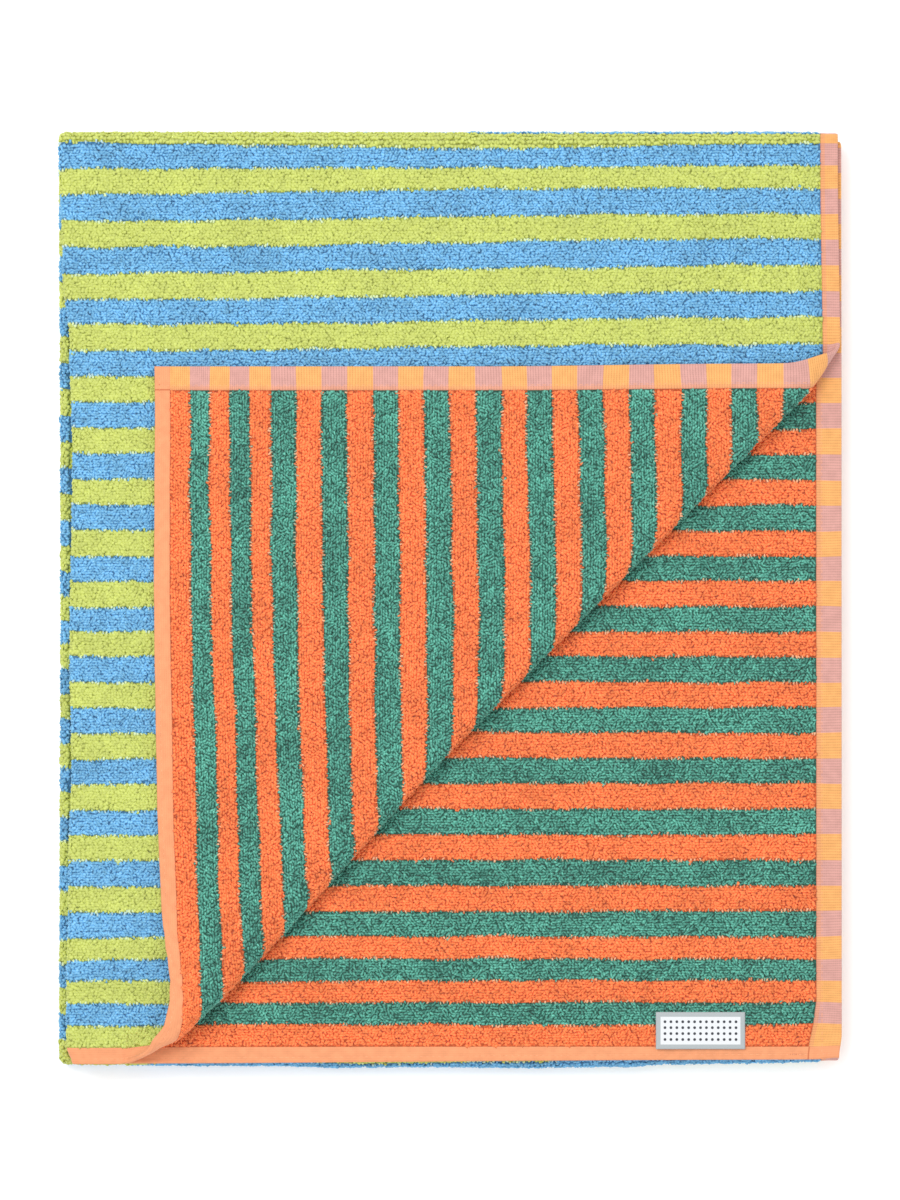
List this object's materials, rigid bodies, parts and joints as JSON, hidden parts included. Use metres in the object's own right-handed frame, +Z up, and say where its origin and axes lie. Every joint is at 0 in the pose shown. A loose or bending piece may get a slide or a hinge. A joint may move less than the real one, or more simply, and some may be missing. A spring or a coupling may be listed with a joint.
{
  "type": "folded bath towel",
  "caption": "Striped terry bath towel folded into a flat stack, with the top layer's corner turned back to show the reverse face.",
  "frame": {"origin": "on the resting surface, under the middle of the folded towel", "axes": "+X along the stripes towards the open side hems, +Y towards the fold at the top edge, +Z up"},
  "size_m": [0.398, 0.4746, 0.0387],
  "materials": {
    "terry": "cotton terry loops, matt",
    "label": "woven satin, slightly glossy"
  },
  "bodies": {
    "root": {"towel": "terry", "label": "label"}
  },
  "joints": []
}
